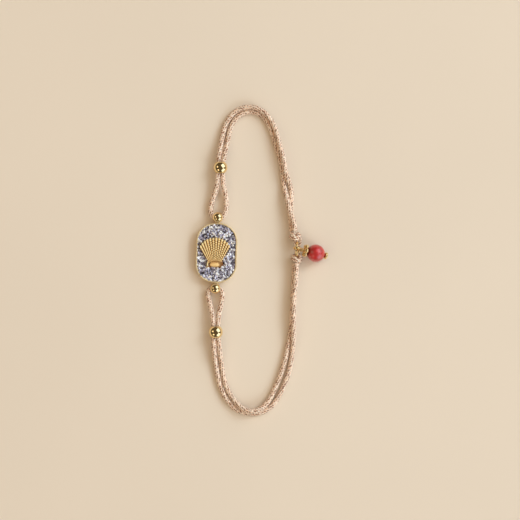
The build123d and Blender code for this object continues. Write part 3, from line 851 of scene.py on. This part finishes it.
def druzy_crystals(tray, druzy, shell):
    """Six-sided points: a ring at the foot, a ring at the shoulder and a tip, leaning at random.

    They sink towards the rim and in the strip beside the shell. A painted shadow darkens them in
    that strip and near the rim's right side. The larger ones get more painted glints, and a few more of them do towards
    the lower right.
    """
    chance = np.random.default_rng(23)
    x, y, near_rim = crystal_places(tray, druzy, shell, chance)
    count = len(x)
    large = chance.random(count)
    size = druzy.crystal * (0.34 + 0.42 * large ** 1.6)
    lift = chance.random(count)
    inward = near_rim / (0.8 * MM)
    sunk = 0.45 * MM * np.clip(1 - inward, 0, 1) * (0.6 + 0.8 * x / tray.width)
    strip = beside_shell(x, y, shell)
    base = druzy.foot - sunk - 0.5 * MM * strip
    shoulder = base + (0.4 + 0.5 * lift) * MM
    tip = shoulder + size * (0.55 + 0.6 * chance.random(count))
    tip = np.minimum(tip, np.where(near_rim < 0.5 * MM, 2.12, 2.45) * MM)
    lean = (chance.random((count, 2)) - 0.5) * 1.5 * np.clip(inward, 0.1, 1)[:, None]
    spin = chance.random(count) * math.pi / 3
    corner = spin[:, None] + math.pi / 3 * np.arange(6)
    wobble = 0.8 + 0.4 * chance.random((count, 6))
    ring = np.stack([np.cos(corner) * wobble, np.sin(corner) * wobble], -1) * size[:, None, None]
    tilt = np.einsum("nk,nck->nc", lean, ring) * -0.55
    centre = np.stack([x, y], -1)
    middle = centre + lean * (shoulder - base)[:, None]
    points = np.zeros((count, 13, 3))
    points[:, :6, :2] = centre[:, None] + ring * 0.95
    points[:, :6, 2] = base[:, None]
    points[:, 6:12, :2] = middle[:, None] + ring
    points[:, 6:12, 2] = shoulder[:, None] + tilt
    points[:, 12, :2] = middle + lean * (tip - shoulder)[:, None] * 0.9
    points[:, 12, 2] = tip
    tone = chance.random(count)
    # Painted shadow of the rim along its right side and of the shell in the strip beside it.
    rim_shadow = (near_rim < 0.42 * MM) & (x > 0.22 * tray.width)
    shaded = np.where(strip | rim_shadow, 0.15, 1.0)
    # Painted glints: more on the larger crystals, and a few more towards the lower right.
    brighter = 0.015 + 0.09 * np.clip(0.35 * x / tray.width - y / tray.length, -0.5, 0.5)
    painted_glint = 0.62 * chance.random(count) + 0.42 * large + brighter
    shade = np.zeros((count, 13, 3))
    shade[..., 0] = (tone * shaded)[:, None]
    # The second number rises from the foot to the tip; the material paints the low parts darker as shade.
    shade[:, 6:12, 1] = 0.5
    shade[:, 12, 1] = 1.0
    shade[..., 2] = (painted_glint * shaded)[:, None]
    return Shape(on_tray(points), crystal_faces(count), shade)


def beside_shell(x, y, shell):
    """True in the narrow strip just past the upper left edge of the shell, where its shadow falls."""
    dx, dy = x - SHELL_APEX[0], y - SHELL_APEX[1]
    aside = (np.arctan2(dx, dy) + SHELL_TURN) / shell.half_angle
    past = np.hypot(dx, dy) - fan_edge(shell, aside)
    return (np.abs(past - 0.2 * MM) < 0.4 * MM) & (aside > -1.05) & (aside < 0.1)


def under_shell(x, y, shell):
    """True well inside the shell's outline, where a crystal would be hidden."""
    dx, dy = x - SHELL_APEX[0], y - SHELL_APEX[1]
    reach, side = np.hypot(dx, dy), np.abs(dx)
    fan = (reach < shell.reach - 0.7 * MM) & (reach > shell.neck - 0.4 * MM) & (side < 0.56 * dy - 0.35 * MM)
    hinge = (side < HINGE_HALF - 0.25 * MM) & (dy > 1.5 * MM) & (dy < shell.neck)
    return fan | hinge


class BRACELET_OT_druzy(bpy.types.Operator):
    """Grow the druzy crystals over the tray's floor"""

    bl_idname = "bracelet.druzy"
    bl_label = "Druzy"

    def execute(self, context):
        tray, druzy, shell = context.scene.bracelet_tray, context.scene.bracelet_druzy, context.scene.bracelet_shell
        shape = druzy_bed(tray) + druzy_crystals(tray, druzy, shell)
        place("druzy", shape, druzy_quartz(druzy), ["druzy_fill"], smooth=False)
        return {"FINISHED"}


def shell_points(x, y, height):
    """Points from the fan's own apex to the bracelet's frame."""
    x, y = turned(x, y, SHELL_TURN)
    return on_tray(np.stack([SHELL_APEX[0] + x, SHELL_APEX[1] + y, SHELL_SEAT + height], -1))


def shell_sheet(x, y, height, shade):
    """A height over the seat on a grid, with a flat underside: each row goes out on top and back below."""
    columns = x.shape[1]
    top = shell_points(x, y, height)
    under = shell_points(x, y, np.zeros_like(height))[:, ::-1]
    points = np.concatenate([top, under], axis=1)
    both = np.concatenate([shade, np.broadcast_to((0.6, 0.5, 0.0), shade.shape)], axis=1)
    rows = len(points)
    j = np.arange(columns - 1)
    near = np.stack([j, j + 1, 2 * columns - 2 - j, 2 * columns - 1 - j], -1)
    return Shape(points, [grid_faces(rows, 2 * columns), near, near + (rows - 1) * 2 * columns], both)


def shell_fan(shell):
    """The fan in polar steps: a dome, raised by half waves for ribs and by small granules on them.

    The ribs at the left are smooth and higher. On the others the granules are cosine waves out
    along the rib, half a wave apart from rib to rib, and each rib ends in a knob.
    """
    across_fan = np.linspace(-1, 1, shell.ribs * 14 + 1)[None, :]
    share = np.linspace(0, 1, 110)[:, None]
    rib_count = shell.ribs * (across_fan + 1) / 2
    wave = np.abs(np.sin(math.pi * rib_count))
    rib_number = np.clip(np.floor(rib_count), 0, shell.ribs - 1)
    angle = shell.half_angle * across_fan
    edge = fan_edge(shell, across_fan) + 0.22 * MM * (wave - 0.6)
    reach = shell.neck + (edge - shell.neck) * share
    swell = np.sin(math.pi * (0.12 + 0.76 * share)) * (1 - 0.6 * across_fan ** 2)
    smooth_side = below(across_fan, -0.45, 0.05)
    rib = shell.rib_height * (0.5 + 0.5 * share) * (wave ** 0.8 - 0.5) * (0.8 + 0.2 * smooth_side)
    beaded = share_between(share, 0, 0.2) ** 0.5 * (1 - smooth_side) * wave ** 0.7
    granule = 0.5 * np.cos(2 * math.pi * (reach / shell.granule + 0.5 * (rib_number % 2)))
    knob = bell(share - 0.95, 0.035) * wave
    height = shell.edge_height + shell.crown * swell + rib + shell.granule_height * (beaded * granule + knob)
    height = height * (0.45 + 0.55 * np.sqrt(share_between(1 - share, 0, 0.02)))
    # Shading numbers: the first is low in the seams for painted shade, the second is high on granule tops and knobs for
    # painted highlights, and the third is high on the smooth ribs at the left, which are painted lighter.
    low = np.clip(wave ** 0.8 - 0.2, 0, 1) * (1.0 + 0.15 * smooth_side)
    shade = np.broadcast_arrays(low, 0.5 + 1.15 * beaded * granule + 0.6 * knob, 0.2 + 0.8 * smooth_side * share ** 0.3)
    return shell_sheet(reach * np.sin(angle), reach * np.cos(angle), height, np.stack(shade, -1))


def shell_hinge():
    """The bar across the fan's neck, worked out in millimetres.

    It is a rounded ridge that thins to the right, with a raised ear at the left, an oval boss
    beside it, and two creases that cross between them.
    """
    side = np.linspace(-1, 1, 120)[None, :]
    ahead = np.linspace(0, 1, 44)[:, None]
    x = side * (HINGE_HALF / MM) * (1 - 0.12 * ahead)
    y = 1.25 + 1.95 * ahead + 0.12 * np.abs(side) ** 3 * (1 - 2 * ahead)
    right = share_between(x, 0.5, 2.1)
    ridge = np.sin(math.pi * ahead) ** 0.6
    boss = np.clip(1 - ((x + 0.08) / 1.2) ** 2 - ((y - 1.95) / 0.58) ** 2, 0, 1) ** 0.4
    ear = bell(x + 1.98 - 0.25 * (ahead - 0.3), 0.2) * ridge
    from_crossing, slope = x + 1.55, (ahead - 0.42) * 1.15
    crossing = bell(from_crossing - slope, 0.09) + bell(from_crossing + slope, 0.09)
    crease = crossing * (np.abs(from_crossing) < 0.42)
    height = 0.14 + ridge * (0.36 - 0.2 * right) + 0.3 * boss + 0.42 * ear - 0.26 * crease * ridge
    # Painted light: the ridge, the boss and the ear are painted lighter as highlights, and the creases and the thin
    # right end darker as shade.
    tone = 0.27 + 0.2 * ridge * (1 - 0.8 * right) + 0.2 * boss + 0.8 * ear - 0.9 * crease
    shade = np.stack([np.clip(tone, 0, 1), 0.4 + 0.06 * boss + 0.4 * ear - 0.12 * right, np.clip(1.2 * ear, 0, 1)], -1)
    return shell_sheet(x * MM, y * MM, np.maximum(height, 0.05) * MM, shade)


class BRACELET_OT_shell(bpy.types.Operator):
    """Build the ribbed scallop shell with its hinge"""

    bl_idname = "bracelet.shell"
    bl_label = "Shell"

    def execute(self, context):
        shell = context.scene.bracelet_shell
        shape = shell_fan(shell) + shell_hinge()
        place("scallop_shell", shape, shell_gold(shell), ["shell"], sharp=70)
        return {"FINISHED"}


def cord_path(name, route):
    """The bare line of a smooth spline whose control points are the route's points."""
    curve = bpy.data.curves.new("route_" + name, "CURVE")
    curve.dimensions = "3D"
    curve.resolution_u = 24
    spline = curve.splines.new("NURBS")
    spline.points.add(len(route) - 1)
    control = np.hstack([np.array(route) * MM, np.ones((len(route), 1))])
    spline.points.foreach_set("co", control.reshape(-1))
    spline.order_u = 3
    spline.use_endpoint_u = True
    holder = bpy.data.objects.new("route_" + name, curve)
    bpy.context.scene.collection.objects.link(holder)
    bpy.context.view_layer.update()
    line = bpy.data.meshes.new_from_object(holder)
    points = np.empty(len(line.vertices) * 3)
    line.vertices.foreach_get("co", points)
    bpy.data.objects.remove(holder)
    return points.reshape(-1, 3)


def slider_squeeze(centre, findings, cord):
    """Thickness share along the cord: full away from the bead, and what the bore leaves inside it."""
    share = (findings.slider_bore / 2 - findings.gap) / cord.diameter
    half = math.sqrt(findings.slider ** 2 - findings.slider_bore ** 2) / 2

    def squeeze(path):
        away = np.abs(path[:, 1] - centre[1]) / half
        near = np.abs(path[:, 0] - centre[0]) < 2 * findings.slider
        open_share = share_between(away, 0.95, 1.3)
        open_share = open_share ** 2 * (3 - 2 * open_share)
        return np.where(near, share + (1 - share) * open_share, 1.0)

    return squeeze


def slider_shape(findings, centre):
    """A ball whose profile turns over a soft lip into a straight bore along Y."""
    radius, bore = findings.slider / 2, findings.slider_bore / 2
    start = math.asin(bore / radius) + 0.06
    polar = np.linspace(start, math.pi - start, 56)
    outside = np.stack([-radius * np.cos(polar), radius * np.sin(polar)], 1)
    half, lip, slight = math.sqrt(radius ** 2 - bore ** 2), 0.08 * MM, 0.01 * MM
    inside = [(half - slight, bore + 2 * slight), (half - lip, bore), (half - 3 * lip, bore),
              (-half + 3 * lip, bore), (-half + lip, bore), (-half + slight, bore + 2 * slight)]
    return lathe(np.vstack([outside, inside]), centre, (0, 1, 0), 80, wrap_rows=True)


class BRACELET_OT_cords(bpy.types.Operator):
    """Lay the two doubled cords and pinch each pair of strands in its slider bead"""

    bl_idname = "bracelet.cords"
    bl_label = "Cords and slider beads"

    def execute(self, context):
        cord, findings = context.scene.bracelet_cord, context.scene.bracelet_findings
        satin = braided_satin("cord_satin", cord, 1.2, 0.2, 0.1)
        gold = polished_gold("slider_gold", findings.gold, 0.07)
        for name, route in (("upper", UPPER_ROUTE), ("lower", LOWER_ROUTE)):
            centre = np.array([*SLIDERS[name], findings.slider / 2])
            bead = place("slider_" + name, slider_shape(findings, centre), gold,
                         ["slider_bead_" + name], sharp=50)
            path = cord_path(name, route)
            squeeze = slider_squeeze(centre, findings, cord)
            shape = braid(path, cord.diameter / 2, UP, cord, squeeze=squeeze, seed=3)
            nodes = ["cord_%s_%s" % (name, part) for part in ("outer", "loop", "inner", "waist")]
            piece = place("cord_" + name, shape, satin, nodes)
        return {"FINISHED"}


def knot_turns(cord, middle, pitch):
    """A rising coil of a little over two turns, tighter at its two ends, round a plain core."""
    half_turns = 2.35 * math.pi
    axis = np.array([-math.sin(KNOT_SLANT), math.cos(KNOT_SLANT), 0.0])
    side = np.array([math.cos(KNOT_SLANT), math.sin(KNOT_SLANT), 0.0])
    turn = np.linspace(-half_turns, half_turns, 200)
    rise = pitch * turn / (3.4 * math.pi)
    wide = cord.wrap_radius * (1 - 0.28 * (np.abs(turn) / half_turns) ** 6)
    coil = middle + rise[:, None] * axis + wide[:, None] * spokes(turn, side, UP)
    core = np.linspace(middle - 0.55 * pitch * axis, middle + 0.55 * pitch * axis, 12)
    shape = braid(coil, cord.diameter / 2 * 0.94, axis, cord, seed=5, fewer=3)
    return shape + wire_tube(core, cord.wrap_radius * 0.75, UP)


def knot_loop(cord, findings, middle, away):
    """The tight loop of cord from the knot round the ring's wire and back."""
    held = np.array([RING_CENTRE[0], RING_CENTRE[1] + away * ring_radius(findings), ring_height(findings)])
    radius = findings.ring_wire / 2 + findings.gap + cord.loop_thickness / 2
    back = (middle - held) * (0, 1, 1)
    length_back = np.linalg.norm(back)
    ahead = back / length_back
    side = np.array([1.0, 0, 0])
    bend = held + radius * spokes(np.linspace(0, math.pi, 40), side, -ahead)
    straight = np.linspace(length_back, findings.gap, 14)[:, None] * ahead
    path = np.vstack([held + radius * side + straight, bend, held - radius * side + straight[::-1]])
    return braid(path, cord.loop_thickness / 2, np.cross(side, ahead), cord, columns=40, spacing=0.06 * MM,
                 seed=6, fewer=4)


class BRACELET_OT_knots(bpy.types.Operator):
    """Tie the two knots round the jump ring"""

    bl_idname = "bracelet.knots"
    bl_label = "Knots"

    def execute(self, context):
        cord, findings = context.scene.bracelet_cord, context.scene.bracelet_findings
        # The knots get deeper painted shade in their pits and along the borders of their yarns.
        satin = braided_satin("knot_satin", cord, 2.0, 0.55, 0.12)
        for name, row in KNOTS.items():
            middle = np.array([*row["centre"], cord.wrap_radius + cord.diameter / 2])
            shape = knot_turns(cord, middle, row["pitch"]) + knot_loop(cord, findings, middle, row["away"])
            place("knot_" + name + "_cord", shape, satin, ["knot_" + name])
        return {"FINISHED"}


def ring_shape(findings):
    """A wire circle in a plane that holds Y and leans, with a fine groove at its joint."""
    centre = np.array([*RING_CENTRE, ring_height(findings)])
    up = np.array([-math.sin(RING_LEAN), 0, math.cos(RING_LEAN)])
    return wire_loop(centre, up, (0, 1.0, 0), ring_radius(findings), findings.ring_wire / 2, 28, 160, groove=0.14)


def pin_head(findings, coral, along, start):
    """A flat disc across the pin, whose rim turns over a quarter round at each side."""
    bend = np.linspace(0, math.pi / 2, 10)
    rounding, inner = 0.36 * MM, 0.2 * MM
    flat, end = findings.pin_head / 2 - rounding, start + findings.pin_head_thickness
    low = np.stack([start + rounding * (1 - np.cos(bend)), flat + rounding * np.sin(bend)], 1)
    high = np.stack([end - rounding * (1 - np.sin(bend)), flat + rounding * np.cos(bend)], 1)
    profile = np.vstack([[(start, inner)], low, high, [(end + 0.02 * MM, inner)]])
    return lathe(profile, coral, along, 56)


def pin_shape(findings):
    """The shank, its eye bent round the ring, two wound turns, and the flat head past the bead."""
    eye, coral, along = pin_line(findings)
    side = unit(np.cross(along, (0, 1.0, 0)))
    flat = unit(np.cross(along, side))
    second = spokes(np.array(PIN_EYE_TURN), -side, flat)
    shape = wire_loop(eye, along, second, findings.pin_eye, findings.pin_eye_wire / 2)
    _, coral_face = coral_hole(findings)
    head = coral_face + findings.gap
    shank = np.linspace(eye + along * findings.pin_eye, coral + along * (head + 0.3 * MM), 60)
    shape = shape + wire_tube(shank, findings.pin_wire / 2, (0, 1.0, 0))
    wrap, first_rise, last_rise = 0.13 * MM, 0.25 * MM, 0.67 * MM
    rise = findings.pin_eye + np.linspace(first_rise, last_rise, 120)[:, None]
    around = spokes(np.linspace(0, 4 * math.pi, 120), side, flat)
    wound = eye + rise * along + (findings.pin_wire / 2 + 0.12 * MM) * around
    shape = shape + wire_tube(wound, wrap, along, columns=12, spacing=0.04 * MM)
    return shape + pin_head(findings, coral, along, head)


def daisy_shape(findings):
    """Six granules round a small disc, on the pin close to the bead."""
    _, coral, along = pin_line(findings)
    side = unit(np.cross(along, (0, 1.0, 0)))
    _, coral_face = coral_hole(findings)
    centre = coral - along * (coral_face + findings.gap + findings.granule)
    half, inner, outer, ridge = 0.3 * MM, 0.36 * MM, 1.0 * MM, findings.granule_ring
    disc = [(-half, inner), (-half, outer), (0, ridge), (half, outer), (half, inner)]
    shape = lathe(disc, centre, along, 40, wrap_rows=True)
    for spoke in spokes(circle(6), side, np.cross(along, side)):
        shape = shape + ball(centre + findings.granule_ring * spoke, findings.granule, 24, 16)
    return shape


def coral_shape(findings):
    """A drilled ball, fuller on the side of the spacer: its radius shrinks a little along the pin."""
    _, coral, along = pin_line(findings)
    radius = findings.coral / 2
    bore, half = coral_hole(findings)
    start = math.asin(bore / radius) + 0.05
    polar = np.linspace(start, math.pi - start, 72)
    wide = radius * np.sin(polar) * (1 - 0.035 * (1 - np.cos(polar)) / 2)
    outside = np.stack([-radius * np.cos(polar), wide], 1)
    lip, slight, columns = 0.15 * MM, 0.02 * MM, 96
    inside = [(half - slight, bore + slight), (half - lip, bore), (-half + lip, bore), (-half + slight, bore + slight)]
    shape = lathe(np.vstack([outside, inside]), coral, along, columns, wrap_rows=True)
    share = np.concatenate([polar / math.pi, [1, 1, 0, 0]])
    # Painted shade: a band beside the daisy and a ring round the hole under the pin's head.
    hole_shade = below(share, 0.17, 0.01) + 0.6 * below(-share, -0.868, 0.008)
    shape.shade[:, 0] = np.repeat(hole_shade, columns)
    return shape


class BRACELET_OT_drop(bpy.types.Operator):
    """Build the jump ring, the head pin, the daisy spacer and the coral bead"""

    bl_idname = "bracelet.drop"
    bl_label = "Jump ring and coral drop"

    def execute(self, context):
        findings = context.scene.bracelet_findings
        gold = polished_gold("wire_gold", findings.wire_gold, 0.18)
        place("ring_wire", ring_shape(findings), gold, ["jump_ring"])
        place("pin_wire", pin_shape(findings), gold, ["head_pin"], sharp=60)
        place("daisy_granules", daisy_shape(findings), gold, ["daisy_spacer"], sharp=60)
        place("coral", coral_shape(findings), coral_red(findings), ["coral_bead"], sharp=60)
        return {"FINISHED"}


def lay_floor(stage):
    """A square of board just under the bracelet."""
    half, under = 600.0 * MM, -0.02 * MM
    corners = [(-half, -half, under), (half, -half, under), (half, half, under), (-half, half, under)]
    mesh = bpy.data.meshes.new("floor")
    mesh.from_pydata(corners, [], [(0, 1, 2, 3)])
    mesh.materials.append(floor_finish(stage))
    floor = bpy.data.objects.new("floor", mesh)
    bpy.context.scene.collection.objects.link(floor)


def hang_lights(context, stage):
    """Two large cool soft boxes and two small cool lamps on the right, and warm windows and fill.

    Each row holds a direction, a distance, a width, a brightness as seen, a colour, and whether
    polished surfaces show it. A lamp's power is its brightness times pi times its area.
    """
    cool, warm = (0.78, 0.89, 1.0), (1.0, 0.82, 0.62)
    rows = (
        ("soft_box_upper", (0.68, 0.46, 0.57), 1.4, 1.40, 1.75, cool, True),
        ("soft_box_lower", (0.70, -0.64, 0.32), 1.4, 1.26, 1.75, cool, True),
        ("lamp_upper", (0.70, 0.42, 0.56), 1.4, 0.46, 9.6, cool, False),
        ("lamp_lower", (0.69, -0.42, 0.56), 1.4, 0.46, 5.2, cool, False),
        ("window_upper", (-0.76, 0.17, 0.63), 1.4, 0.48, 1.9, warm, True),
        ("window_lower", (-0.53, -0.63, 0.57), 1.4, 0.48, 2.0, warm, True),
        ("fill", (-0.1, 0.05, 0.99), 1.8, 3.0, 0.64, warm, False),
    )
    for name, toward, far, wide, bright, tint, shown in rows:
        light = bpy.data.lights.new(name, "AREA")
        light.energy = stage.key * bright * math.pi * wide ** 2
        light.size = wide
        light.color = tint
        holder = bpy.data.objects.new(name, light)
        holder.location = unit(toward) * far
        holder.rotation_euler = holder.location.to_track_quat("Z", "Y").to_euler()
        holder.visible_glossy = shown
        context.scene.collection.objects.link(holder)
    world = bpy.data.worlds.new("room")
    world.use_nodes = True
    world.node_tree.nodes["Background"].inputs["Color"].default_value = (1.0, 0.78, 0.52, 1)
    world.node_tree.nodes["Background"].inputs["Strength"].default_value = 0.11
    context.scene.world = world


def aim_camera(context, stage):
    """A long lens straight above; its field holds view_width at the floor."""
    data = bpy.data.cameras.new("camera")
    data.sensor_width = 36.0
    data.lens = data.sensor_width * stage.view_height / stage.view_width
    data.clip_start = 0.01
    camera = bpy.data.objects.new("camera", data)
    camera.location = (-0.45 * MM, -2.6 * MM, stage.view_height + 1.5 * MM)
    context.scene.collection.objects.link(camera)
    context.scene.camera = camera


class BRACELET_OT_stage(bpy.types.Operator):
    """Set up the floor, the soft lights and the camera straight above"""

    bl_idname = "bracelet.stage"
    bl_label = "Stage"

    def execute(self, context):
        stage = context.scene.bracelet_stage
        lay_floor(stage)
        hang_lights(context, stage)
        aim_camera(context, stage)
        context.scene.view_settings.view_transform = "Standard"
        return {"FINISHED"}


class BRACELET_PT_panel(bpy.types.Panel):
    """The bracelet's sizes, colours and steps"""

    bl_label = "Shell Bracelet"
    bl_idname = "BRACELET_PT_panel"
    bl_space_type = "VIEW_3D"
    bl_region_type = "UI"
    bl_category = "Bracelet"

    def draw(self, context):
        for name in SETTINGS:
            group = getattr(context.scene, name)
            column = self.layout.column(align=True)
            for prop in group.__annotations__:
                column.prop(group, prop)
        for operator in OPERATORS:
            self.layout.operator(operator.bl_idname)


SETTINGS = {
    "bracelet_cord": CordSettings,
    "bracelet_tray": TraySettings,
    "bracelet_druzy": DruzySettings,
    "bracelet_shell": ShellSettings,
    "bracelet_findings": FindingSettings,
    "bracelet_stage": StageSettings,
}
OPERATORS = (
    BRACELET_OT_cords, BRACELET_OT_knots, BRACELET_OT_tray, BRACELET_OT_druzy, BRACELET_OT_shell,
    BRACELET_OT_drop, BRACELET_OT_stage,
)


def register():
    """Adds the settings, the operators and the panel to Blender."""
    for group in SETTINGS.values():
        bpy.utils.register_class(group)
    for name, group in SETTINGS.items():
        setattr(bpy.types.Scene, name, PointerProperty(type=group))
    for operator in OPERATORS:
        bpy.utils.register_class(operator)
    bpy.utils.register_class(BRACELET_PT_panel)


def unregister():
    """Takes them out again."""
    bpy.utils.unregister_class(BRACELET_PT_panel)
    for operator in reversed(OPERATORS):
        bpy.utils.unregister_class(operator)
    for name, group in SETTINGS.items():
        delattr(bpy.types.Scene, name)
        bpy.utils.unregister_class(group)


def main():
    register()
    bpy.ops.bracelet.cords()
    bpy.ops.bracelet.knots()
    bpy.ops.bracelet.tray()
    bpy.ops.bracelet.druzy()
    bpy.ops.bracelet.shell()
    bpy.ops.bracelet.drop()
    bpy.ops.bracelet.stage()


if __name__ == "__main__":
    main()
